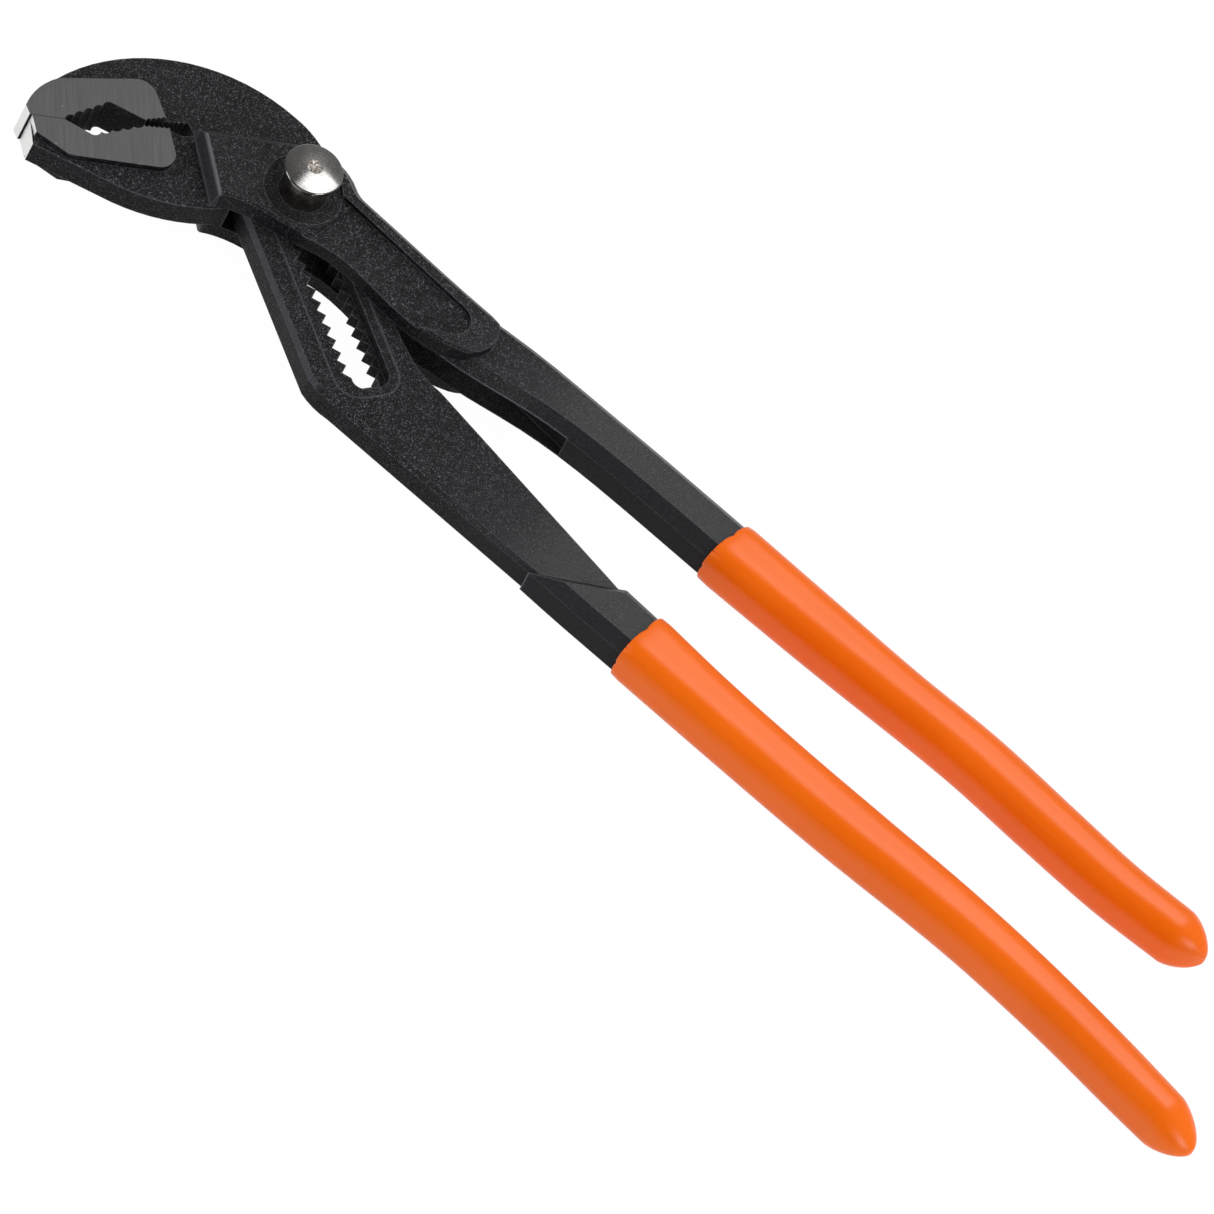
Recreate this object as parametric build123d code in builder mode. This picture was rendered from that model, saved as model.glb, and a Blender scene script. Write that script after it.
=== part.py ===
from build123d import *
import os
from math import cos, radians, sin

# Tongue and groove pliers with a push-button box joint, jaws closed at the tips.
# X runs from the joint to the handles, Y across the handles, Z through the thickness.
# The origin is on the joint axis, in the rear face of the box, on which the pliers lie.

os.makedirs("parts", exist_ok=True)

# ---- driving dimensions (mm, degrees) ----
# Layers, as distances from the middle plane of the forgings.
CHEEK = 7.4
CAVITY = 3.0
TONGUE = 2.8
JAW = 2.7
GROUND_JAW = 4.3
HANDLE = 5.2
GRIP_WALL = 0.9

# The joint and its adjusting slot.
SLOT_ANGLE = -33.5
TOOTH_PITCH = 2.9
OPENING_ANGLE = 35.0
TURNING_GAP = 0.3
CAVITY_REACH = 28.0
GROOVE_END = 69.5
TOOTH_LAYER_SPLIT = 0.2
TEETH_IN_RACK = 15
FRONT_ROW_SHIFT = 0.85
REAR_ROW_SHIFT = 0.05
RACK_TIP = 3.1
RACK_ROOT = 4.6
RACK_END = 41.2
SLOT_HALF_WIDTH = 4.85
SLOT_START = -5.2
SLOT_END = 42.9
SLOT_CORNER_RADIUS = 3.2
TONGUE_EDGE = 11.5
TONGUE_INNER_EDGE = 9.8
TONGUE_BEVEL = 0.9

# The bite: the line on which the jaws meet, in its own frame about the joint axis.
BITE_ANGLE = 38.3
CLOSING_LINE = 10.7
SHOULDER_RADIUS = 11.6

# The bolt, its spring and what closes the bore behind it.
SHANK_RADIUS = 4.7
BORE_FIT = 0.08
PRESS_FIT = 0.02
NECK_RADIUS = 2.8
NECK_TOP = 6.3
BLOCK_SPLIT = 0.1
BLOCK_BOTTOM = -2.5
BLOCK_TOP = 2.6
BLOCK_GAP = 0.25
BLOCK_BACK = 2.9
SHANK_TOP = 13.4
STUD_RADIUS = 1.6
STUD_HEIGHT = 1.7
SPRING_BORE_RADIUS = 2.1
SPRING_BORE_TOP = 4.2
SPRING_RADIUS = 1.65
WIRE_RADIUS = 0.25
BLOCK_BORE_RADIUS = 6.1
REAR_CAP_RADIUS = 6.8
REAR_CAP_THICKNESS = 0.8
SEAT_THICKNESS = 0.6
SPOT_FACE_RADIUS = 7.9
SPOT_FACE_DEPTH = 0.6
POCKET_DEPTH = 1.1

# The octagonal handle bars and their forged edges.
BAR_BEVEL = 2.3
BOX_BEVEL = 1.8
RISE_FOOT = 0.2
RISE_RUN = 0.8
HOLLOW_RADIUS = 6.0
EDGE_BREAK = 0.5
REAR_EDGE_BREAK = 1.2
BAND_WIDTH = 1.9
BAND_DEPTH = 0.15
BAND_RADIUS = 4.8

MIDDLE = Plane.XY.offset(CHEEK)
BITE = Plane(origin=(0, 0, CHEEK), x_dir=(cos(radians(BITE_ANGLE)), sin(radians(BITE_ANGLE)), 0), z_dir=(0, 0, 1))
SLOT = Plane(origin=(0, 0, CHEEK), x_dir=(cos(radians(SLOT_ANGLE)), sin(radians(SLOT_ANGLE)), 0), z_dir=(0, 0, 1))


def polar(radius, angle):
    """A point at this distance and angle from the joint axis."""
    return (radius * cos(radians(angle)), radius * sin(radians(angle)))


def along(point, distance, angle):
    """The point this far from another one, in the direction of the angle."""
    return (point[0] + distance * cos(radians(angle)), point[1] + distance * sin(radians(angle)))


def from_bite(u, v):
    """A point of the bite's frame, in the frame of the whole object."""
    corner = BITE.from_local_coords((u, v, 0))
    return (corner.X, corner.Y)


def scallops(start, end, count, depth):
    """Jaw teeth in a row: hollows as arcs between sharp tips, cut to the left of start to end."""
    run = Vector(*end) - Vector(*start)
    side = Vector(-run.Y, run.X).normalized() * depth
    for tooth in range(count):
        first = Vector(*start) + run * (tooth / count)
        last = Vector(*start) + run * ((tooth + 1) / count)
        ThreePointArc(first, (first + last) / 2 + side, last)


def rack(first, count, tip, root):
    """The points of a row of saw teeth along the slot, from one tip to the tip count teeth on."""
    points = [(first, tip)]
    for tooth in range(count):
        points.append((first + (tooth + 0.5) * TOOTH_PITCH, root))
        points.append((first + (tooth + 1) * TOOTH_PITCH, tip))
    return points


def mirrored(points):
    """The same points on the other side of the slot's centre line, from the last to the first."""
    return [(along_slot, -across) for along_slot, across in reversed(points)]


def outer_edges(part):
    """The edges of a flat piece's front and rear faces."""
    faces = part.faces().sort_by(Axis.Z)
    return faces[0].edges() + faces[-1].edges()


def handle_bar(top, bottom, tip, half_thickness, bevel):
    """A forged bar between two long curves with a round end, its corners bevelled to an octagon."""
    with BuildPart() as bar:
        with BuildSketch(MIDDLE):
            with BuildLine():
                Spline(*top)
                ThreePointArc(top[-1], tip, bottom[-1])
                Spline(*reversed(bottom))
                Line(bottom[0], top[0])
            make_face()
        extrude(amount=half_thickness, both=True)
        chamfer(outer_edges(bar), length=bevel)
    return bar.part


# ---- outer lever: lower jaw, box and handle, one forging ----

OUTER_TOP = [(38, 6.9), (47, 7.5), (56, 7.8), (66, 7.6), (80, 7.2), (104, 6.2), (128, 5.0), (150, 3.9), (170, 3.6),
             (190, 1.8), (206, 0.4), (216, 0.2)]
OUTER_BOTTOM = [(38, -7.6), (50, -6.6), (60, -4.9), (72, -4.0), (86, -4.2), (104, -5.0), (133, -5.6), (166, -5.7),
                (186, -7.2), (204, -8.3), (215.5, -8.0)]
OUTER_TIP = (221.5, -4.0)

outer_bar = handle_bar(OUTER_TOP, OUTER_BOTTOM, OUTER_TIP, HANDLE, BAR_BEVEL)

# the box: a straight edge beside the bite, a shoulder round the joint, and a rounded end
box_foot = from_bite(-17.45, -3.6)
box_corner = from_bite(-20.0, SHOULDER_RADIUS)
shoulder_start = polar(SHOULDER_RADIUS, BITE_ANGLE + 90)
shoulder_end = polar(SHOULDER_RADIUS, 46)
box_end_top = (42.5, 5.9)
box_end_bottom = (45.0, -5.8)

with BuildPart() as box:
    with BuildSketch(MIDDLE):
        with BuildLine():
            Polyline(box_foot, box_corner, shoulder_start)
            ThreePointArc(shoulder_start, polar(SHOULDER_RADIUS, 90), shoulder_end)
            Spline(shoulder_end, (16, 7.8), (28, 6.8), box_end_top)
            ThreePointArc(box_end_top, (47.3, -0.5), box_end_bottom)
            Spline(box_end_bottom, (38.0, -7.9), (27.0, -7.9), (12.0, -6.7), (3.2, -8.8), (-3.0, -9.9), box_foot)
        make_face()
    extrude(amount=CHEEK, both=True)
    # the hollow between the shoulder and the top, and the steep slopes up from the jaw to the cheeks
    fillet(box.edges().filter_by(Axis.Z).sort_by_distance((*shoulder_end, CHEEK))[0], HOLLOW_RADIUS)
    for end in (0, -1):
        cheek_face = box.faces().sort_by(Axis.Z)[end]
        rise = cheek_face.edges().filter_by(lambda edge: edge.center().X < -12 and edge.center().Y < -3)
        chamfer(rise, length=RISE_RUN, length2=CHEEK - JAW - RISE_FOOT, reference=cheek_face)
    # the bevels round the shoulder and along the top, and the broken edges of the end and foot
    top_edges = outer_edges(box).filter_by(lambda edge: edge.center().X > -12 and edge.center().Y > 3)
    chamfer(top_edges, length=BOX_BEVEL)
    low_edges = outer_edges(box).filter_by(lambda edge: edge.center().Y < -5 and edge.length > 20)
    chamfer(low_edges.sort_by(Axis.Z)[-1], length=EDGE_BREAK)
    low_edges = outer_edges(box).filter_by(lambda edge: edge.center().Y < -5 and edge.length > 20)
    chamfer(low_edges.sort_by(Axis.Z)[0], length=REAR_EDGE_BREAK)

with BuildPart() as outer_lever:
    # the lower jaw: flat lip, slope, coarse pipe teeth, fine teeth, and a notch before the box
    with BuildSketch(BITE):
        with BuildLine():
            Polyline((-52.3, 4.9), (-52.7, CLOSING_LINE - 0.1), (-46.2, CLOSING_LINE - 0.1), (-41.2, 8.1))
            scallops((-41.2, 8.1), (-30.4, 12.0), 5, -0.55)
            scallops((-30.4, 12.0), (-25.4, 12.3), 5, -0.4)
            Line((-25.4, 12.3), (-24.3, 12.5))
            ThreePointArc((-24.3, 12.5), (-22.1, 11.8), (-20.3, 12.3))
            Polyline((-20.3, 12.3), (-19.6, 11.3), (-12.0, 11.3), (-10.0, 0.0), (-14.0, -3.7))
            ThreePointArc((-14.0, -3.7), (-26.5, -4.3), (-35.2, -2.2))
            Line((-35.2, -2.2), (-52.3, 4.9))
        make_face()
    extrude(amount=JAW, both=True)
    # its ground faces, raised on both sides
    with BuildSketch(BITE):
        with BuildLine():
            Polyline((-52.0, 6.8), (-52.7, CLOSING_LINE - 0.1), (-46.2, CLOSING_LINE - 0.1), (-41.2, 8.1))
            scallops((-41.2, 8.1), (-30.4, 12.0), 5, -0.55)
            scallops((-30.4, 12.0), (-25.4, 12.3), 5, -0.4)
            Polyline((-25.4, 12.3), (-24.3, 6.4))
            ThreePointArc((-24.3, 6.4), (-25.4, 3.6), (-28.2, 2.6))
            Polyline((-28.2, 2.6), (-43.6, 2.5), (-45.6, 2.6), (-52.0, 6.8))
        make_face()
    extrude(amount=GROUND_JAW, both=True)
    add(box)
    add(outer_bar)
    # the cavity that the tongue slides and turns in, open above and below
    wall = TONGUE_EDGE + TURNING_GAP
    turned = SLOT_ANGLE - OPENING_ANGLE
    cavity_corner = polar(wall / cos(radians(OPENING_ANGLE / 2)), SLOT_ANGLE - 90 - OPENING_ANGLE / 2)
    closed_wall_end = along(cavity_corner, CAVITY_REACH, SLOT_ANGLE + 180)
    open_wall_end = along(cavity_corner, CAVITY_REACH, turned)
    with BuildSketch(MIDDLE):
        with BuildLine():
            Polyline(closed_wall_end, cavity_corner, open_wall_end, (GROOVE_END, -20), (GROOVE_END, -2.0),
                     (50, 0.4), (18, 5.9), (13.0, 7.0), (13.0, 24), closed_wall_end)
        make_face()
    extrude(amount=CAVITY, both=True, mode=Mode.SUBTRACT)
    # the pocket in each cheek, which runs out through the lower edge
    for side in (1, -1):
        with BuildSketch(MIDDLE.offset(side * CHEEK)):
            with BuildLine():
                Polyline((5.6, -12), (6.5, 4.9), (38.6, 2.0))
                ThreePointArc((38.6, 2.0), (41.7, -1.2), (39.6, -5.4))
                Polyline((39.6, -5.4), (34.5, -8.2), (34.5, -12), (5.6, -12))
            make_face()
            Circle(SPOT_FACE_RADIUS, mode=Mode.SUBTRACT)
        extrude(amount=-side * POCKET_DEPTH, mode=Mode.SUBTRACT)
    # the bolt's bore and spot face in front, the block's bore and the rear cap's seat behind
    with Locations(MIDDLE.offset(CHEEK)):
        CounterBoreHole(SHANK_RADIUS + BORE_FIT, SPOT_FACE_RADIUS, SPOT_FACE_DEPTH, depth=2 * CHEEK)
    with BuildSketch(Plane.XY):
        Circle(BLOCK_BORE_RADIUS)
    extrude(amount=CHEEK - CAVITY, mode=Mode.SUBTRACT)
    with BuildSketch(Plane.XY):
        Circle(REAR_CAP_RADIUS + PRESS_FIT)
    extrude(amount=REAR_CAP_THICKNESS, mode=Mode.SUBTRACT)

outer_lever.part.label = "outer_lever"
export_step(outer_lever.part, "parts/outer_lever.step")

# ---- inner lever: upper jaw, tongue with the toothed slot, and handle, one forging ----

INNER_TOP = [(98.5, -23.45), (106, -24.1), (125, -26.1), (145, -27.4), (166, -28.2), (186, -28.9), (206, -30.5),
             (228, -33.4), (239.5, -35.6)]
INNER_BOTTOM = [(82.5, -34.8), (95, -35.6), (111, -36.3), (132, -37.4), (158, -38.4), (190, -38.6), (213, -40.4),
                (238, -43.8)]
INNER_TIP = (243.5, -40.4)

inner_bar = handle_bar(INNER_TOP, INNER_BOTTOM, INNER_TIP, HANDLE, BAR_BEVEL)

# the tongue and the plate behind it, thin enough to pass through the box
with BuildPart() as tongue:
    with BuildSketch(SLOT):
        with BuildLine():
            Polyline((-17.5, -TONGUE_EDGE), (38.7, -TONGUE_EDGE))
            ThreePointArc((38.7, -TONGUE_EDGE), (42.0, -10.4), (45.2, -8.4))
            Polyline((45.2, -8.4), (87.4, 16.9), (97.0, 28.0), (97.5, 34.5), (92.4, 32.5), (46.1, 13.6))
            ThreePointArc((46.1, 13.6), (41.5, 11.4), (36.0, TONGUE_INNER_EDGE + 0.5))
            Polyline((36.0, TONGUE_INNER_EDGE + 0.5), (30.0, TONGUE_INNER_EDGE), (-10.0, TONGUE_INNER_EDGE),
                     (-17.5, -TONGUE_EDGE))
        make_face()
    extrude(amount=TONGUE, both=True)
    front_edges = tongue.faces().sort_by(Axis.Z)[-1].edges()
    lower_run = front_edges.filter_by(lambda edge: edge.center().X < 60 and edge.center().Y < -15)
    chamfer(lower_run, length=TONGUE_BEVEL)

with BuildPart() as inner_lever:
    # the head: flat lip, coarse pipe teeth, slope, fine teeth, shoulder round the joint, big outer arc
    shoulder = SHOULDER_RADIUS + TURNING_GAP
    head_end = polar(shoulder, 92 - BITE_ANGLE)
    with BuildSketch(BITE):
        with BuildLine():
            Polyline((-53.9, 12.7), (-53.2, CLOSING_LINE), (-46.2, CLOSING_LINE))
            scallops((-46.2, CLOSING_LINE), (-36.6, 16.0), 5, 0.6)
            Polyline((-36.6, 16.0), (-29.9, 13.1))
            scallops((-29.9, 13.1), (-25.9, 14.2), 4, 0.35)
            scallops((-25.9, 14.2), (-20.9, 14.6), 5, 0.35)
            Polyline((-20.9, 14.6), (-19.8, shoulder), (0, shoulder))
            ThreePointArc((0, shoulder), polar(shoulder, 75), head_end)
            ThreePointArc(head_end, (5.0, 14.6), (0.5, 19.8))
            ThreePointArc((0.5, 19.8), (-22.0, 29.1), (-47.2, 20.8))
            Spline((-47.2, 20.8), (-50.6, 18.0), (-53.9, 12.7))
        make_face()
    extrude(amount=TONGUE, both=True)
    # its ground faces, raised on both sides
    with BuildSketch(BITE):
        with BuildLine():
            Polyline((-53.9, 12.7), (-53.2, CLOSING_LINE), (-46.2, CLOSING_LINE))
            scallops((-46.2, CLOSING_LINE), (-36.6, 16.0), 5, 0.6)
            Polyline((-36.6, 16.0), (-29.9, 13.1))
            scallops((-29.9, 13.1), (-25.9, 14.2), 4, 0.35)
            Polyline((-25.9, 14.2), (-27.6, 19.6))
            ThreePointArc((-27.6, 19.6), (-28.9, 21.6), (-31.4, 22.5))
            Polyline((-31.4, 22.5), (-47.2, 20.0))
            Spline((-47.2, 20.0), (-50.6, 17.7), (-53.9, 12.7))
        make_face()
    extrude(amount=GROUND_JAW, both=True)
    add(tongue)
    add(inner_bar)
    # the flat band milled round the slot
    with BuildSketch(SLOT.offset(TONGUE)):
        with Locations(((SLOT_START + SLOT_END) / 2, 0)):
            RectangleRounded(SLOT_END - SLOT_START + 2 * BAND_WIDTH, 2 * (SLOT_HALF_WIDTH + BAND_WIDTH), BAND_RADIUS)
    extrude(amount=-BAND_DEPTH, mode=Mode.SUBTRACT)
    # the slot's front layer: a row of teeth below, a smooth wall above
    front_teeth = rack(-1.5 * TOOTH_PITCH + FRONT_ROW_SHIFT, TEETH_IN_RACK, RACK_TIP, RACK_ROOT)
    rear_teeth = rack(-1.5 * TOOTH_PITCH + REAR_ROW_SHIFT, TEETH_IN_RACK, RACK_TIP, RACK_ROOT)
    rounding_start = SLOT_END - SLOT_CORNER_RADIUS
    rounding_middle = along((rounding_start, SLOT_HALF_WIDTH - SLOT_CORNER_RADIUS), SLOT_CORNER_RADIUS, 45)
    with BuildSketch(SLOT.offset(TONGUE)):
        with BuildLine():
            Polyline((SLOT_START, -RACK_TIP), (SLOT_START, SLOT_HALF_WIDTH), (rounding_start, SLOT_HALF_WIDTH))
            ThreePointArc((rounding_start, SLOT_HALF_WIDTH), rounding_middle,
                          (SLOT_END, SLOT_HALF_WIDTH - SLOT_CORNER_RADIUS))
            Line((SLOT_END, SLOT_HALF_WIDTH - SLOT_CORNER_RADIUS), (SLOT_END, -0.3))
            ThreePointArc((SLOT_END, -0.3), (42.3, -2.3), (40.9, -RACK_TIP))
            Polyline((40.9, -RACK_TIP), *mirrored(front_teeth), (SLOT_START, -RACK_TIP))
        make_face()
    extrude(amount=-(TONGUE - TOOTH_LAYER_SPLIT), mode=Mode.SUBTRACT)
    # and its rear layer, the other way round
    with BuildSketch(SLOT.offset(TOOTH_LAYER_SPLIT)):
        with BuildLine():
            Polyline((SLOT_START, -SLOT_HALF_WIDTH), (SLOT_START, RACK_TIP), *rear_teeth, (RACK_END, RACK_TIP),
                     (RACK_END, -SLOT_HALF_WIDTH), (SLOT_START, -SLOT_HALF_WIDTH))
        make_face()
    extrude(amount=-(TONGUE + TOOTH_LAYER_SPLIT), mode=Mode.SUBTRACT)

inner_lever.part.label = "inner_lever"
export_step(inner_lever.part, "parts/inner_lever.step")

# ---- grips: dipped sleeves, each the handle's own outline grown by the wall ----


def grip_sleeve(top, bottom, tip, lever):
    """A bevelled sleeve round the handle between two long curves, hollow where the lever's bar is."""
    with BuildPart() as sleeve:
        add(handle_bar(top, bottom, tip, HANDLE + GRIP_WALL, BAR_BEVEL + 0.4))
        add(lever, mode=Mode.SUBTRACT)
    return sleeve.part


OUTER_GRIP_TOP = [(105.7, 7.1), (128, 5.9), (150, 4.8), (170, 4.5), (190, 2.7), (206, 1.3), (218.5, 1.2),
                 (224.0, -0.5)]
OUTER_GRIP_BOTTOM = [(106.7, -6.0), (133, -6.5), (166, -6.6), (186, -8.1), (204, -9.2), (218, -8.9),
                    (224.0, -7.0)]
OUTER_GRIP_TIP = (227.6, -3.6)
INNER_GRIP_TOP = [(107.6, -23.3), (125, -25.2), (145, -26.5), (166, -27.3), (186, -28.0), (206, -29.6),
                  (228, -32.5), (241.0, -35.0), (247.5, -37.8)]
INNER_GRIP_BOTTOM = [(106.8, -37.1), (132, -38.3), (158, -39.3), (190, -39.5), (213, -41.3), (235, -44.3),
                     (240.5, -45.3), (246.5, -44.6)]
INNER_GRIP_TIP = (251.6, -41.4)

with BuildPart() as outer_grip:
    add(grip_sleeve(OUTER_GRIP_TOP, OUTER_GRIP_BOTTOM, OUTER_GRIP_TIP, outer_lever.part))

outer_grip.part.label = "outer_grip"
export_step(outer_grip.part, "parts/outer_grip.step")

with BuildPart() as inner_grip:
    add(grip_sleeve(INNER_GRIP_TOP, INNER_GRIP_BOTTOM, INNER_GRIP_TIP, inner_lever.part))

inner_grip.part.label = "inner_grip"
export_step(inner_grip.part, "parts/inner_grip.step")

# ---- push bolt: shank, neck and toothed block, with the spring's bore from behind ----

rear_block = rack(-1.5 * TOOTH_PITCH + REAR_ROW_SHIFT, 3, RACK_TIP - BLOCK_GAP, RACK_ROOT - BLOCK_GAP)
front_block = rack(-1.5 * TOOTH_PITCH + FRONT_ROW_SHIFT, 3, RACK_TIP - BLOCK_GAP, RACK_ROOT - BLOCK_GAP)

with BuildPart() as push_bolt:
    # the block's rear level has its teeth above, the front level below
    with BuildSketch(SLOT.offset(BLOCK_BOTTOM)):
        with BuildLine():
            Polyline(*rear_block, (rear_block[-1][0], -BLOCK_BACK), (rear_block[0][0], -BLOCK_BACK),
                     rear_block[0])
        make_face()
    extrude(amount=BLOCK_SPLIT - BLOCK_BOTTOM)
    with BuildSketch(SLOT.offset(BLOCK_SPLIT)):
        with BuildLine():
            Polyline(*mirrored(front_block), (front_block[0][0], BLOCK_BACK), (front_block[-1][0], BLOCK_BACK),
                     mirrored(front_block)[0])
        make_face()
    extrude(amount=BLOCK_TOP - BLOCK_SPLIT)
    with BuildSketch(MIDDLE.offset(BLOCK_TOP)):
        Circle(NECK_RADIUS)
    extrude(amount=NECK_TOP - BLOCK_TOP)
    with BuildSketch(MIDDLE.offset(NECK_TOP)):
        Circle(SHANK_RADIUS)
    extrude(amount=SHANK_TOP - NECK_TOP)
    with BuildSketch(MIDDLE.offset(SHANK_TOP)):
        Circle(STUD_RADIUS)
    extrude(amount=STUD_HEIGHT)
    with BuildSketch(MIDDLE.offset(BLOCK_BOTTOM)):
        Circle(SPRING_BORE_RADIUS)
    extrude(amount=SPRING_BORE_TOP - BLOCK_BOTTOM, mode=Mode.SUBTRACT)

push_bolt.part.label = "push_bolt"
export_step(push_bolt.part, "parts/push_bolt.step")

# ---- button cap: a shallow dome, riveted on the bolt's stud ----

CAP_RADIUS = 5.85
CAP_RIM_HEIGHT = 0.9
CAP_HEIGHT = 1.75
CAP_EDGE_RADIUS = 0.3
CAP_CORNER = 0.25

with BuildPart() as button_cap:
    with BuildSketch(Plane.XZ):
        with BuildLine():
            Polyline((0, 0), (CAP_RADIUS - CAP_CORNER, 0), (CAP_RADIUS, CAP_CORNER), (CAP_RADIUS, CAP_RIM_HEIGHT))
            ThreePointArc((CAP_RADIUS, CAP_RIM_HEIGHT), (0.6 * CAP_RADIUS, 1.45), (0, CAP_HEIGHT))
            Line((0, CAP_HEIGHT), (0, 0))
        make_face()
    revolve(axis=Axis.Z)
    rims = button_cap.edges().filter_by(lambda edge: edge.is_closed)
    fillet(rims.sort_by(Axis.Z)[-1], CAP_EDGE_RADIUS)
    with BuildSketch(Plane.XY):
        Circle(STUD_RADIUS + 0.02)
    extrude(amount=CAP_HEIGHT + 1, mode=Mode.SUBTRACT)

button_cap.part.locate(Location((0, 0, CHEEK + SHANK_TOP)))
button_cap.part.label = "button_cap"
export_step(button_cap.part, "parts/button_cap.step")

# ---- return spring: from the seat to the end of the bolt's bore ----

seat_bottom = REAR_CAP_THICKNESS + 0.05
seat_top = seat_bottom + SEAT_THICKNESS
spring_height = CHEEK + SPRING_BORE_TOP - seat_top - 2 * WIRE_RADIUS
SPRING_TURNS = 8

with BuildPart() as return_spring:
    with BuildLine() as coil:
        Helix(pitch=spring_height / SPRING_TURNS, height=spring_height, radius=SPRING_RADIUS,
              center=(0, 0, seat_top + WIRE_RADIUS))
    with BuildSketch(Plane(origin=coil.line @ 0, z_dir=coil.line % 0)):
        Circle(WIRE_RADIUS)
    sweep(is_frenet=True)

return_spring.part.label = "return_spring"
export_step(return_spring.part, "parts/return_spring.step")

# ---- spring seat: a washer with a spigot, turning in the block's bore ----

with BuildPart() as spring_seat:
    with BuildSketch(Plane.XY.offset(seat_bottom)):
        Circle(BLOCK_BORE_RADIUS - BORE_FIT)
    extrude(amount=SEAT_THICKNESS)
    with BuildSketch(Plane.XY.offset(seat_top)):
        Circle(SPRING_RADIUS - WIRE_RADIUS - 0.2)
    extrude(amount=1.0)

spring_seat.part.label = "spring_seat"
export_step(spring_seat.part, "parts/spring_seat.step")

# ---- rear cap: a disc pressed flush into the rear cheek ----

with BuildPart() as rear_cap:
    with BuildSketch(Plane.XY):
        Circle(REAR_CAP_RADIUS)
    extrude(amount=REAR_CAP_THICKNESS)
    chamfer(rear_cap.edges().group_by(Axis.Z)[0], length=0.2)

rear_cap.part.label = "rear_cap"
export_step(rear_cap.part, "parts/rear_cap.step")
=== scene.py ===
from math import cos, pi, radians, sin, sqrt

import bmesh
import bpy
from mathutils import Matrix, Vector


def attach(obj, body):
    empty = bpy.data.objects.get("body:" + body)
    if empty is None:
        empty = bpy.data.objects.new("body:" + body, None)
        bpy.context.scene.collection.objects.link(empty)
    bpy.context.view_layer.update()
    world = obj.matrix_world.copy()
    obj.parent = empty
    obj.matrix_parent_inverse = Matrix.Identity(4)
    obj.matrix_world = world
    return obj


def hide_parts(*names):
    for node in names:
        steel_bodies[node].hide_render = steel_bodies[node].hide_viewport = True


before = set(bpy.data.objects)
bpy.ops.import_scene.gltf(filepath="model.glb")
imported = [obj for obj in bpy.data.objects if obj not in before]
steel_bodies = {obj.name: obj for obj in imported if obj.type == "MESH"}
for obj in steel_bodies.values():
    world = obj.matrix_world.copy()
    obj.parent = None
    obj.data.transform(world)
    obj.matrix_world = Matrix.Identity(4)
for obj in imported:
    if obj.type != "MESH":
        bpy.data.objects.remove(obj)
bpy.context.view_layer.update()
MM = 0.001


# ---- the two levers ----
# Each is one drop forging in carbon steel, trimmed at the flash line, sandblasted and blackened.
# The working faces of the jaws are ground bright afterwards, and the corners wear bright in use. Their colour
# also has painted light: highlights along corners and edges, glints on the grain and a sheen on the tongue's
# bevel.

MIDDLE_HEIGHT = 7.4 * MM
GROUND_FACE_HEIGHT = 4.2 * MM
BITE_ANGLE = radians(38.3)
GROUND_JAW_START = -23.5 * MM
TIP_START = -44 * MM
RISE_PLACE = -17.55 * MM
RISE_LEAN = 0.168
RISE_BOTTOM = 2.8 * MM
RISE_TOP = 7.4 * MM
TONGUE_BEVEL = (-0.39, -0.59, 0.707)
SLOT_ANGLE = radians(-33.5)
SLOT_WAY = (cos(SLOT_ANGLE), sin(SLOT_ANGLE), 0.0)
SLOT_SIDE = (-sin(SLOT_ANGLE), cos(SLOT_ANGLE), 0.0)
BAND_MIDDLE = 18.85 * MM
BAND_HALF_WIDTH = 6.75 * MM
BAND_CORNER = 4.8 * MM
BAND_STRAIGHT = 21.15 * MM

BLACK_OXIDE = (0.0065, 0.0065, 0.0078)
SMOOTH_OXIDE = (0.019, 0.019, 0.021)
GROUND_STEEL = (0.075, 0.075, 0.077)
BRIGHT_STEEL = (0.78, 0.78, 0.77)
WORN_STEEL_AND_HIGHLIGHT = (0.22, 0.22, 0.24)
BEVEL_SHEEN = (0.075, 0.075, 0.09)
BRUSHED_DARK = (0.060, 0.060, 0.062)
PIT_STEEL = (0.25, 0.25, 0.25)

GRAIN_SCALE = 3600
DENT_SCALE = 900
GRAIN_DEPTH = 0.28 * MM
GLINT_SHARE = 0.62
SMOOTH_SHARE = 0.15
WEAR_AND_HIGHLIGHT_RADIUS = 0.6 * MM


def new_material(name):
    """An empty node material with its shader and output, and the colour the viewport shows."""
    material = bpy.data.materials.new(name)
    material.use_nodes = True
    nodes = material.node_tree.nodes
    nodes.clear()
    shader = nodes.new("ShaderNodeBsdfPrincipled")
    output = nodes.new("ShaderNodeOutputMaterial")
    material.node_tree.links.new(shader.outputs["BSDF"], output.inputs["Surface"])
    return material, shader


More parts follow.
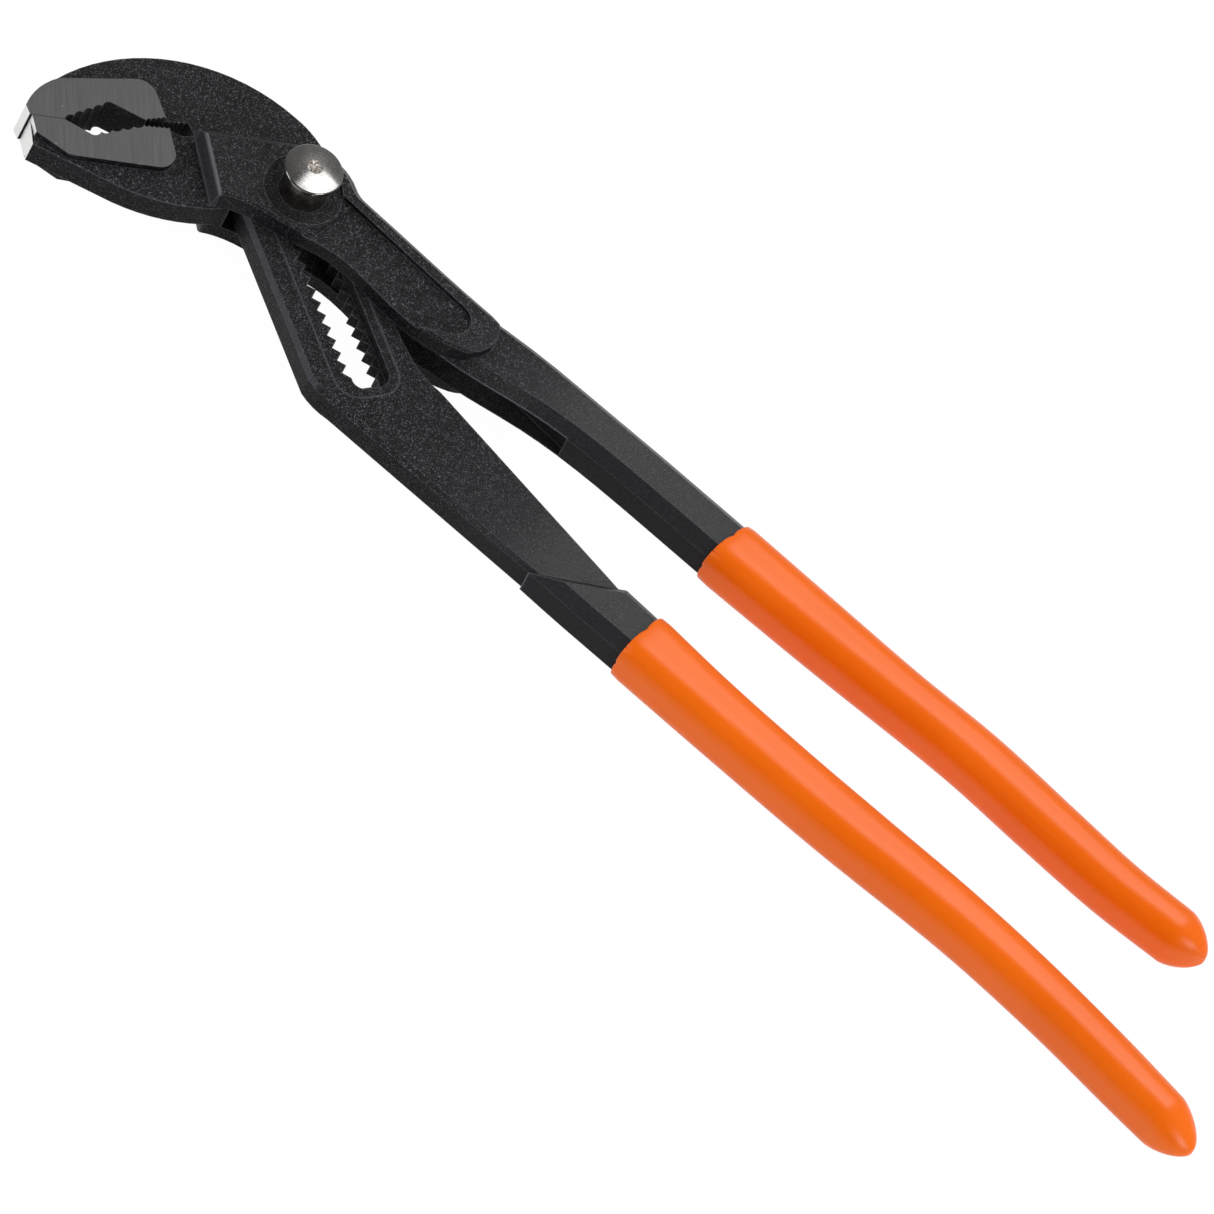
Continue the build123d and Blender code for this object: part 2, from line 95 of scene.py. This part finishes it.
class Nodes:
    """Short ways to make and join the nodes of one material."""

    def __init__(self, material):
        self.tree = material.node_tree

    def put(self, value, socket):
        """Joins an output to a socket, or sets the socket to a plain value."""
        if isinstance(value, bpy.types.NodeSocket):
            self.tree.links.new(value, socket)
        elif isinstance(value, tuple) and len(value) == 3 and socket.type == "RGBA":
            socket.default_value = (*value, 1.0)
        else:
            socket.default_value = value

    def math(self, operation, first, second=0.0, third=0.0):
        node = self.tree.nodes.new("ShaderNodeMath")
        node.operation = operation
        for value, socket in zip((first, second, third), node.inputs):
            self.put(value, socket)
        return node.outputs[0]

    def dot(self, first, second):
        node = self.tree.nodes.new("ShaderNodeVectorMath")
        node.operation = "DOT_PRODUCT"
        self.put(first, node.inputs[0])
        self.put(second, node.inputs[1])
        return node.outputs["Value"]

    def scaled(self, vector, factors):
        node = self.tree.nodes.new("ShaderNodeVectorMath")
        node.operation = "MULTIPLY"
        self.put(vector, node.inputs[0])
        node.inputs[1].default_value = factors
        return node.outputs["Vector"]

    def ramp(self, value, low, high, to_low=0.0, to_high=1.0):
        """The value's smooth step from low to high."""
        node = self.tree.nodes.new("ShaderNodeMapRange")
        node.interpolation_type = "SMOOTHSTEP"
        self.put(value, node.inputs["Value"])
        node.inputs["From Min"].default_value = low
        node.inputs["From Max"].default_value = high
        node.inputs["To Min"].default_value = to_low
        node.inputs["To Max"].default_value = to_high
        return node.outputs["Result"]

    def mix(self, share, first, second):
        node = self.tree.nodes.new("ShaderNodeMix")
        node.data_type = "RGBA"
        self.put(share, node.inputs["Factor"])
        self.put(first, node.inputs["A"])
        self.put(second, node.inputs["B"])
        return node.outputs["Result"]

    def blend(self, share, first, second):
        node = self.tree.nodes.new("ShaderNodeMix")
        node.data_type = "FLOAT"
        self.put(share, node.inputs["Factor"])
        self.put(first, node.inputs["A"])
        self.put(second, node.inputs["B"])
        return node.outputs["Result"]

    def noise(self, vector, scale, detail=2.0, roughness=0.5):
        node = self.tree.nodes.new("ShaderNodeTexNoise")
        self.put(vector, node.inputs["Vector"])
        node.inputs["Scale"].default_value = scale
        node.inputs["Detail"].default_value = detail
        node.inputs["Roughness"].default_value = roughness
        return node.outputs["Fac"]

    def place(self, output="Object"):
        return self.tree.nodes.new("ShaderNodeTexCoord").outputs[output]

    def height(self, place):
        node = self.tree.nodes.new("ShaderNodeSeparateXYZ")
        self.put(place, node.inputs[0])
        return node.outputs

    def bump(self, value, depth, strength=1.0, under=None):
        """A bump of this depth in metres, on top of another one."""
        node = self.tree.nodes.new("ShaderNodeBump")
        self.put(value, node.inputs["Height"])
        self.put(strength, node.inputs["Strength"])
        node.inputs["Distance"].default_value = depth
        if under is not None:
            self.put(under, node.inputs["Normal"])
        return node.outputs["Normal"]

    def edges(self, radius):
        """How sharply the surface turns within this radius: 0 on a flat, more on an edge."""
        bevel = self.tree.nodes.new("ShaderNodeBevel")
        bevel.samples = 6
        bevel.inputs["Radius"].default_value = radius
        plain = self.tree.nodes.new("ShaderNodeNewGeometry").outputs["Normal"]
        return self.math("SUBTRACT", 1.0, self.dot(bevel.outputs["Normal"], plain))


def forged_steel(name, rough_end, has_rise):
    """Blackened sandblasted forging, coarse up to rough_end along X and smoother past it.

    The outer lever has the rise between jaw and cheek, and the inner one has the tongue with its slot."""
    material, shader = new_material(name)
    make = Nodes(material)
    place = make.place()
    x, y, z = make.height(place)

    # the sandblasted grain, with a few larger dents, and painted glints on it
    faces_up = make.math("ABSOLUTE", make.height(make.place("Normal"))[2])
    blasted = make.ramp(x, rough_end - 20 * MM, rough_end + 25 * MM, 1.0, SMOOTH_SHARE)
    coarse = make.math("MULTIPLY", blasted, make.ramp(faces_up, 0.3, 0.8, 0.45, 1.0))
    grain = make.noise(place, GRAIN_SCALE, 2.0, 0.6)
    dents = make.noise(place, DENT_SCALE, 2.0, 0.5)
    surface = make.math("MULTIPLY_ADD", dents, 0.5, make.ramp(grain, 0.34, 0.66))
    normal = make.bump(surface, GRAIN_DEPTH, coarse)
    forging_colour = make.mix(blasted, SMOOTH_OXIDE, BLACK_OXIDE)
    # painted glints: the grain's high points are painted lighter, more where the faces look up and would
    # catch the lamps
    painted_glints = make.math("MULTIPLY", coarse, GLINT_SHARE)
    painted_glints = make.math("MULTIPLY", make.ramp(grain, 0.53, 0.64), painted_glints)
    painted_glints = make.math("MULTIPLY", painted_glints, make.ramp(dents, 0.35, 0.65, 0.4, 1.0))
    forging_colour = make.mix(painted_glints, forging_colour, WORN_STEEL_AND_HIGHLIGHT)
    oxide_gloss = make.blend(coarse, 0.42, 0.36)

    # bright corners, partly rubbed wear and partly a painted highlight where a rounded corner would catch the
    # light, broken up by the grain
    wear_and_highlight = make.math("MULTIPLY_ADD", make.noise(place, 450, 3.0), 0.08, make.edges(WEAR_AND_HIGHLIGHT_RADIUS))
    wear_and_highlight = make.ramp(wear_and_highlight, 0.11, 0.22, 0.0, 0.42)

    # places along and across the bite, and the distance from the middle plane
    bite = (cos(BITE_ANGLE), sin(BITE_ANGLE), 0.0)
    along_bite = make.dot(place, bite)
    across_bite = make.dot(place, (-sin(BITE_ANGLE), cos(BITE_ANGLE), 0.0))
    level = make.math("ABSOLUTE", make.math("SUBTRACT", z, MIDDLE_HEIGHT))
    if has_rise:
        # the rise between jaw and cheek, with painted highlights: a line along its foot, a brighter one along
        # its top, and its face a little lighter
        leaned = make.math("MULTIPLY_ADD", across_bite, RISE_LEAN, along_bite)
        from_rise = make.math("SUBTRACT", leaned, RISE_PLACE)
        past_foot = make.ramp(from_rise, -0.8 * MM, -0.6 * MM)
        past_crest = make.ramp(from_rise, 0.3 * MM, 0.8 * MM)
        slope = make.math("SUBTRACT", past_foot, past_crest)
        foot_highlight = make.ramp(level, RISE_BOTTOM, RISE_BOTTOM + 0.9 * MM, 0.45, 0.12)
        crest_highlight = make.ramp(level, RISE_TOP - 1.3 * MM, RISE_TOP - 0.2 * MM, 0.12, 0.9)
        rise_highlight = make.math("MULTIPLY", make.math("MAXIMUM", foot_highlight, crest_highlight), slope)
        above = make.math("GREATER_THAN", level, RISE_BOTTOM)
        wear_and_highlight = make.math("MAXIMUM", wear_and_highlight, make.math("MULTIPLY", rise_highlight, above))
    else:
        # painted sheen: the faces of the tongue's front bevel are painted lighter and bluish, as where they
        # catch the light
        bevel_facing = make.dot(make.place("Normal"), TONGUE_BEVEL)
        forging_colour = make.mix(make.ramp(bevel_facing, 0.95, 0.99, 0.0, 0.85), forging_colour, BEVEL_SHEEN)
        # the band milled round the slot, with a painted highlight along its edge on the faces that look up
        from_middle = make.math("SUBTRACT", make.dot(place, SLOT_WAY), BAND_MIDDLE)
        along_band = make.math("ABSOLUTE", from_middle)
        past_end = make.math("MAXIMUM", make.math("SUBTRACT", along_band, BAND_STRAIGHT), 0.0)
        aside = make.math("ABSOLUTE", make.dot(place, SLOT_SIDE))
        past_side = make.math("MAXIMUM", make.math("SUBTRACT", aside, BAND_HALF_WIDTH - BAND_CORNER), 0.0)
        squared = make.math("MULTIPLY_ADD", past_end, past_end, make.math("MULTIPLY", past_side, past_side))
        from_edge = make.math("ABSOLUTE", make.math("SUBTRACT", make.math("SQRT", squared), BAND_CORNER))
        band_edge_highlight = make.ramp(from_edge, 0.1 * MM, 0.4 * MM, 0.3, 0.0)
        band_edge_highlight = make.math("MULTIPLY", band_edge_highlight, make.math("GREATER_THAN", x, 0))
        wear_and_highlight = make.math("MAXIMUM", wear_and_highlight, make.math("MULTIPLY", band_edge_highlight, make.math("GREATER_THAN", faces_up, 0.9)))
    colour = make.mix(wear_and_highlight, forging_colour, WORN_STEEL_AND_HIGHLIGHT)
    gloss = make.blend(wear_and_highlight, oxide_gloss, 0.33)

    # the ground faces of the jaw, brushed across the bite, and its bright tip
    ground = make.math("MULTIPLY", make.math("GREATER_THAN", level, GROUND_FACE_HEIGHT),
                       make.math("LESS_THAN", along_bite, GROUND_JAW_START))
    brushed_place = make.tree.nodes.new("ShaderNodeCombineXYZ")
    make.put(along_bite, brushed_place.inputs[0])
    make.put(make.math("MULTIPLY", across_bite, 0.03), brushed_place.inputs[1])
    brushing = make.noise(brushed_place.outputs[0], 3200, 2.0)
    pits = make.ramp(make.noise(place, 700, 1.0), 0.74, 0.80)
    ground_colour = make.mix(make.ramp(brushing, 0.3, 0.7), BRUSHED_DARK, GROUND_STEEL)
    ground_colour = make.mix(make.math("MULTIPLY", pits, 0.5), ground_colour, PIT_STEEL)
    facing = make.dot(make.place("Normal"), tuple(-value for value in bite))
    tip = make.math("MULTIPLY", make.ramp(facing, 0.72, 0.8), make.math("LESS_THAN", along_bite, TIP_START))
    colour = make.mix(ground, colour, ground_colour)
    colour = make.mix(tip, colour, BRIGHT_STEEL)
    finished = make.math("MAXIMUM", ground, tip)
    gloss = make.blend(finished, gloss, 0.42)
    metal = make.blend(finished, make.math("MULTIPLY", wear_and_highlight, 0.2), 0.65)

    brush_normal = make.bump(brushing, 0.00004, 0.5)
    mixed_normal = make.mix(finished, normal, brush_normal)
    make.put(colour, shader.inputs["Base Color"])
    make.put(gloss, shader.inputs["Roughness"])
    make.put(metal, shader.inputs["Metallic"])
    make.put(mixed_normal, shader.inputs["Normal"])
    make.put(make.ramp(faces_up, 0.3, 0.9, 0.04, 0.24), shader.inputs["Specular IOR Level"])
    return material


def dress(node, material):
    """Gives a CAD piece its finish."""
    piece = steel_bodies[node]
    piece.data.materials.clear()
    piece.data.materials.append(material)
    return piece


dress("outer_lever", forged_steel("outer_lever_steel", 50 * MM, True))
dress("inner_lever", forged_steel("inner_lever_steel", 66 * MM, False))


# ---- push bolt, return spring, spring seat and rear cap ----
# The bolt is turned in alloy steel, hardened and ground; its toothed block is milled, and its stud is peened
# over the cap. The spring is wound from bright wire, and the seat and the rear cap are stamped discs.

PEENED_HEIGHT = 22.3 * MM
BOLT_COLOUR = (0.46, 0.42, 0.38)
SPRING_COLOUR = (0.55, 0.55, 0.55)


def turned_steel(name, colour, roughness, ring_scale):
    """Steel with fine rings round the joint axis, as the lathe leaves them."""
    material, shader = new_material(name)
    make = Nodes(material)
    place = make.place()
    x, y, z = make.height(place)
    rings = make.noise(make.scaled(place, (0.05, 0.05, 1.0)), ring_scale, 2.0)
    stains = make.noise(place, 300, 3.0)
    darker = tuple(0.5 * value for value in colour)
    base = make.mix(make.ramp(stains, 0.35, 0.65), darker, colour)
    peened = make.math("GREATER_THAN", z, PEENED_HEIGHT)
    hammered = make.noise(place, 1500, 2.0)
    base = make.mix(make.math("MULTIPLY", peened, make.ramp(hammered, 0.42, 0.62)), base, darker)
    turned_normal = make.bump(rings, 0.00003, 0.6)
    make.put(base, shader.inputs["Base Color"])
    make.put(make.blend(peened, roughness, 0.36), shader.inputs["Roughness"])
    make.put(make.bump(hammered, 0.0005, peened, turned_normal), shader.inputs["Normal"])
    shader.inputs["Metallic"].default_value = 1.0
    return material


bolt_steel = turned_steel("bolt_steel", BOLT_COLOUR, 0.24, 6000)
spring_steel = turned_steel("spring_steel", SPRING_COLOUR, 0.3, 2500)
dress("push_bolt", bolt_steel)
dress("return_spring", spring_steel)
dress("spring_seat", spring_steel)
dress("rear_cap", bolt_steel)


# ---- button cap ----
# A shallow dome pressed from steel, nickel plated and buffed on a spindle. Its fine marks are circles, so the
# light spreads on it in wedges from the middle outwards.


SHADED_NICKEL = (0.15, 0.147, 0.142)
CLEAR_NICKEL = (0.20, 0.196, 0.19)
BUFFING_SCALE = 9000
BUFFING_PULL = 0.85


def buffed_nickel():
    """Nickel plate with circular buffing marks."""
    material, shader = new_material("buffed_nickel")
    make = Nodes(material)
    place = make.place()
    flat_place = make.scaled(place, (1.0, 1.0, 0.0))
    length = make.tree.nodes.new("ShaderNodeVectorMath")
    length.operation = "LENGTH"
    make.put(flat_place, length.inputs[0])
    rings = make.noise(length.outputs["Value"], BUFFING_SCALE, 2.0)
    tint = make.noise(place, 250, 2.0)
    base = make.mix(make.ramp(tint, 0.3, 0.7), SHADED_NICKEL, CLEAR_NICKEL)
    tangent = make.tree.nodes.new("ShaderNodeTangent")
    tangent.direction_type = "RADIAL"
    tangent.axis = "Z"
    make.put(base, shader.inputs["Base Color"])
    make.put(make.ramp(rings, 0.2, 0.8, 0.14, 0.2), shader.inputs["Roughness"])
    make.put(make.bump(rings, 0.00002, 0.4), shader.inputs["Normal"])
    make.put(tangent.outputs["Tangent"], shader.inputs["Tangent"])
    shader.inputs["Metallic"].default_value = 1.0
    shader.inputs["Anisotropic"].default_value = BUFFING_PULL
    shader.inputs["Anisotropic Rotation"].default_value = 0.25
    return material


dress("button_cap", buffed_nickel())


# ---- grips ----
# Each handle is dipped warm into liquid vinyl and cured. So the sleeve follows the octagonal bar with
# softened corners, ends in a blunt dome, and has a rolled rim that runs forward on the corners of the bar.

GRIP_HALF_HEIGHT = 6.1 * MM
GRIP_BEVEL = 2.75 * MM
GRIP_WALL = 0.88 * MM
CORNER_RADIUS = 2.4 * MM
INNER_CORNER_RADIUS = 0.2 * MM
RIM_WAVE = 0.28 * MM
LIP_THINNING = 0.12 * MM
LIP_LENGTH = 1.8 * MM
STATION_LENGTH = 1.6 * MM
DOME_STEPS = 16
LIP_STEPS = 6
FLAT_STEPS = 6
ARC_STEPS = 5

DEEP_VINYL = (0.84, 0.132, 0.0015)
PALE_VINYL = (0.88, 0.144, 0.003)


def curve_height(points, x):
    """The height at x of a smooth curve through the points."""
    count = len(points)
    span = 0
    while span < count - 2 and x > points[span + 1][0]:
        span += 1
    (x0, y0), (x1, y1) = points[span], points[span + 1]
    before = points[max(span - 1, 0)]
    after = points[min(span + 2, count - 1)]
    slope0 = (y1 - before[1]) / (x1 - before[0])
    slope1 = (after[1] - y0) / (after[0] - x0)
    run = x1 - x0
    t = (x - x0) / run
    return ((2 * t**3 - 3 * t**2 + 1) * y0 + (t**3 - 2 * t**2 + t) * run * slope0
            + (3 * t**2 - 2 * t**3) * y1 + (t**3 - t**2) * run * slope1)


def octagon(half_width, half_height, bevel, radius):
    """A bevelled section with rounded corners: points (across, up, how near a corner), always as many."""
    bevel = min(bevel, 0.8 * half_width, 0.8 * half_height)
    corners = []
    for sign_across, sign_up in ((1, 1), (-1, 1), (-1, -1), (1, -1)):
        low = (sign_across * half_width, sign_up * (half_height - bevel))
        high = (sign_across * (half_width - bevel), sign_up * half_height)
        corners += [low, high] if sign_across == sign_up else [high, low]
    points = []
    for index, corner in enumerate(corners):
        here = Vector(corner)
        back = Vector(corners[index - 1]) - here
        ahead = Vector(corners[(index + 1) % len(corners)]) - here
        reach = min(radius, 0.48 * back.length, 0.48 * ahead.length)
        start = here + back.normalized() * reach
        end = here + ahead.normalized() * reach
        for step in range(ARC_STEPS + 1):
            t = step / ARC_STEPS
            point = start * (1 - t) ** 2 + here * 2 * t * (1 - t) + end * t * t
            points.append((point.x, point.y, 1.0))
        following = Vector(corners[(index + 1) % len(corners)])
        far_reach = min(radius, 0.48 * ahead.length)
        far_end = following - ahead.normalized() * far_reach
        for step in range(1, FLAT_STEPS):
            t = step / FLAT_STEPS
            point = end.lerp(far_end, t)
            points.append((point.x, point.y, (1 + cos(2 * pi * t)) / 2))
    return points


def grip(name, top, bottom, tip, bluntness, rim_tilt, body, node):
    """A dipped sleeve between two long curves, closed at the tip by a blunt dome.

    The bluntness holds how square the dome is across and up, and how high its very end is."""
    width_power, height_power, end_height = bluntness
    start, end = top[0][0], top[-1][0]

    def middle_at(x):
        return (curve_height(top, x) + curve_height(bottom, x)) / 2

    count = round((end - start) * MM / STATION_LENGTH)
    stations = []
    for index in range(count + 1):
        x = start + (end - start) * index / count
        before = max(x - 1, start)
        high, low = curve_height(top, x), curve_height(bottom, x)
        middle = middle_at(x)
        slope = (middle - middle_at(before)) / max(x - before, 0.01)
        half_width = (high - low) / 2 * MM / sqrt(1 + slope * slope)
        stations.append((x * MM, middle * MM, half_width, slope, 1.0, 1.0))
    # the first station has none before it, so it leans like the second
    stations[0] = (*stations[0][:3], stations[1][3], 1.0, 1.0)
    last_x, last_y, last_width, last_slope = stations[-1][:4]
    for step in range(1, DOME_STEPS):
        t = sin(pi / 2 * step / DOME_STEPS)
        narrowed = (1 - t**width_power) ** (1 / width_power)
        lowered = end_height + (1 - end_height) * (1 - t**height_power) ** (1 / height_power)
        x = last_x + (tip[0] * MM - last_x) * t
        y = last_y + (tip[1] * MM - last_y) * t
        stations.append((x, y, last_width, last_slope, narrowed, lowered))

    mesh = bmesh.new()

    def ring(station, inset, forward, radius):
        """One section, this far in from the outer surface, moved forward where the bar has its corners."""
        x, y, half_width, slope, narrowed, lowered = station
        lean = sqrt(1 + slope * slope)
        along = Vector((1 / lean, slope / lean, 0))
        across = Vector((-slope / lean, 1 / lean, 0))
        width = (half_width - inset) * narrowed
        height = (GRIP_HALF_HEIGHT - inset) * lowered
        points = []
        for side, up, cornered in octagon(width, height, GRIP_BEVEL * narrowed, radius * narrowed):
            place = Vector((x, y, MIDDLE_HEIGHT)) + across * side + Vector((0, 0, up))
            shift = forward * (RIM_WAVE * (cornered - 0.5) + rim_tilt * side)
            points.append(mesh.verts.new(place - along * shift))
        return points

    rings = []
    for station in reversed(stations[1:]):
        rings.append(ring(station, GRIP_WALL, 0, INNER_CORNER_RADIUS))
    lip = GRIP_WALL - LIP_THINNING
    for step in range(LIP_STEPS + 1):
        turn = pi * step / LIP_STEPS
        inset = LIP_THINNING + lip * (1 + cos(turn)) / 2
        bulge = (stations[0][0] - lip / 2 * sin(turn), *stations[0][1:])
        rings.append(ring(bulge, inset, 1, CORNER_RADIUS))
    for station in stations[1:]:
        fade = max(0.0, 1 - (station[0] - stations[0][0]) / LIP_LENGTH)
        rings.append(ring(station, LIP_THINNING * fade**2, fade, CORNER_RADIUS))
    for first, second in zip(rings, rings[1:]):
        for index in range(len(first)):
            after = (index + 1) % len(first)
            mesh.faces.new((first[index], second[index], second[after], first[after]))
    for last, inset in ((rings[0], GRIP_WALL), (rings[-1], 0)):
        pole = mesh.verts.new((tip[0] * MM - inset, tip[1] * MM, MIDDLE_HEIGHT))
        for index in range(len(last)):
            mesh.faces.new((last[index], last[(index + 1) % len(last)], pole))
    bmesh.ops.recalc_face_normals(mesh, faces=mesh.faces)
    shape = bpy.data.meshes.new(name)
    mesh.to_mesh(shape)
    mesh.free()
    shape.shade_smooth()
    piece = bpy.data.objects.new(name, shape)
    bpy.context.scene.collection.objects.link(piece)
    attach(piece, body)
    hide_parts(node)
    return piece


def dipped_vinyl():
    """Satin orange vinyl with faint flow lines along the handle and fine dimples."""
    material, shader = new_material("dipped_vinyl")
    make = Nodes(material)
    place = make.place()
    flow = make.noise(make.scaled(place, (0.06, 1.0, 1.0)), 900, 2.0)
    dimples = make.noise(place, 1400, 2.0)
    clouds = make.noise(place, 35, 2.0)
    colour = make.mix(make.ramp(clouds, 0.3, 0.7), DEEP_VINYL, PALE_VINYL)
    normal = make.bump(flow, 0.00006, 0.35)
    normal = make.bump(dimples, 0.00002, 0.35, normal)
    make.put(colour, shader.inputs["Base Color"])
    make.put(make.ramp(dimples, 0.2, 0.8, 0.30, 0.38), shader.inputs["Roughness"])
    make.put(normal, shader.inputs["Normal"])
    shader.inputs["Specular IOR Level"].default_value = 0.24
    return material


vinyl = dipped_vinyl()
outer_sleeve = grip(
    "outer_grip_sleeve",
    [(106.2, 7.05), (128, 5.9), (150, 4.8), (170, 4.5), (190, 2.7), (206, 1.3), (220, 1.2)],
    [(106.2, -6.0), (133, -6.5), (166, -6.6), (186, -8.1), (204, -9.2), (220, -8.9)],
    (227.4, -3.8), (1.44, 1.6, 0.11), -0.12, "outer_lever_body", "outer_grip")
inner_sleeve = grip(
    "inner_grip_sleeve",
    [(107.2, -23.25), (125, -25.2), (145, -26.5), (166, -27.3), (186, -28.0), (206, -29.6), (228, -32.5),
     (243.2, -35.1)],
    [(107.2, -37.1), (132, -38.3), (158, -39.3), (190, -39.5), (213, -41.3), (235, -44.2), (243.2, -45.15)],
    (251.5, -41.9), (1.92, 1.31, 0.12), 0.0, "inner_lever_body", "inner_grip")
for sleeve in (outer_sleeve, inner_sleeve):
    sleeve.data.materials.append(vinyl)


# ---- the table, the lamps and the camera ----
# A white studio table, a large soft lamp above and behind, one low at each side in front, and a backdrop
# that is brighter behind the tool. The camera has a long lens and looks down on the tool.

FLOOR_SIZE = 40
FLOOR_PAINT = (0.88, 0.88, 0.88, 1)
FLOOR_GLOW = 0.94
GLOW_STRENGTH = 1.04
BRIGHT_SIDE = (0.25, 0.85, 0.2)
FRONT_LIGHT = 0.04
BACK_LIGHT = 0.5


def white_table():
    """A table that the camera and reflections see nearly white, with the object's shadow kept.

    What they don't see lights the tool as plain white paint does."""
    material, shader = new_material("white_table")
    tree = material.node_tree
    make = Nodes(material)
    shader.inputs["Base Color"].default_value = FLOOR_PAINT
    shader.inputs["Roughness"].default_value = 0.9
    rays = tree.nodes.new("ShaderNodeLightPath").outputs
    mirrored = make.math("MAXIMUM", rays["Is Glossy Ray"], rays["Is Transmission Ray"])
    seen = make.math("MAXIMUM", rays["Is Camera Ray"], mirrored)
    glow = tree.nodes.new("ShaderNodeEmission")
    glow.inputs["Color"].default_value = (1, 1, 1, 1)
    glow.inputs["Strength"].default_value = GLOW_STRENGTH
    mix = tree.nodes.new("ShaderNodeMixShader")
    make.put(make.math("MULTIPLY", seen, FLOOR_GLOW), mix.inputs["Fac"])
    tree.links.new(shader.outputs["BSDF"], mix.inputs[1])
    tree.links.new(glow.outputs["Emission"], mix.inputs[2])
    output = next(node for node in tree.nodes if node.type == "OUTPUT_MATERIAL")
    tree.links.new(mix.outputs["Shader"], output.inputs["Surface"])
    return material


floor_mesh = bpy.data.meshes.new("table_top")
half = FLOOR_SIZE / 2
floor_corners = [(-half, -half, 0), (half, -half, 0), (half, half, 0), (-half, half, 0)]
floor_mesh.from_pydata(floor_corners, [], [(0, 1, 2, 3)])
floor = bpy.data.objects.new("table_top", floor_mesh)
floor.data.materials.append(white_table())
bpy.context.scene.collection.objects.link(floor)

world = bpy.data.worlds.new("studio")
world.use_nodes = True
backdrop = world.node_tree.nodes["Background"]
backdrop.inputs["Color"].default_value = (1, 1, 1, 1)
sky = Nodes(world)
towards_back = sky.dot(sky.place("Generated"), BRIGHT_SIDE)
sky.put(sky.ramp(towards_back, -0.3, 0.8, FRONT_LIGHT, BACK_LIGHT), backdrop.inputs["Strength"])
bpy.context.scene.world = world

TABLE_TURN = radians(13.5)
VIEW_TILT = radians(38.5)
VIEW_ROLL = radians(28)
AIM = Vector((97.46, -27.17, 7.28)) * MM
FRAME_WIDTH = 230.8 * MM
LENS = 1500
SENSOR = 36

along_table = Vector((cos(TABLE_TURN), sin(TABLE_TURN), 0))
across_table = Vector((-sin(TABLE_TURN), cos(TABLE_TURN), 0))
lifted = across_table * cos(VIEW_TILT) + Vector((0, 0, sin(VIEW_TILT)))
right = along_table * cos(VIEW_ROLL) + lifted * sin(VIEW_ROLL)
up = lifted * cos(VIEW_ROLL) - along_table * sin(VIEW_ROLL)
towards_camera = right.cross(up)
camera_data = bpy.data.cameras.new("camera")
camera_data.lens = LENS
camera_data.sensor_width = SENSOR
camera_data.clip_start = 0.1
camera_data.clip_end = 100
camera = bpy.data.objects.new("camera", camera_data)
distance = FRAME_WIDTH * LENS / SENSOR
turn = Matrix((right, up, towards_camera)).transposed().to_4x4()
camera.matrix_world = Matrix.Translation(AIM + towards_camera * distance) @ turn
bpy.context.scene.collection.objects.link(camera)
bpy.context.scene.camera = camera


def soft_lamp(name, direction, distance, width, depth, power):
    """A square soft lamp that looks at the tool from this direction."""
    data = bpy.data.lights.new(name, "AREA")
    data.shape = "RECTANGLE"
    data.size = width
    data.size_y = depth
    data.energy = power
    lamp = bpy.data.objects.new(name, data)
    towards = Vector(direction).normalized()
    lamp.location = AIM + towards * distance
    lamp.rotation_euler = towards.to_track_quat("Z", "Y").to_euler()
    bpy.context.scene.collection.objects.link(lamp)


upright = Vector((0, 0, 1))
from_above = across_table * 0.38 + along_table * 0.1 + upright * 0.92
from_left = along_table * -0.86 - across_table * 0.28 + upright * 0.40
from_right = along_table * 0.75 - across_table * 0.55 + upright * 0.36
LAMP_POWER = 9
soft_lamp("top_lamp", from_above, 1.2, 0.6, 0.8, LAMP_POWER)
soft_lamp("left_lamp", from_left, 1.4, 0.6, 0.6, LAMP_POWER)
soft_lamp("right_lamp", from_right, 1.4, 0.6, 0.6, LAMP_POWER)

bpy.context.scene.view_settings.view_transform = "Standard"
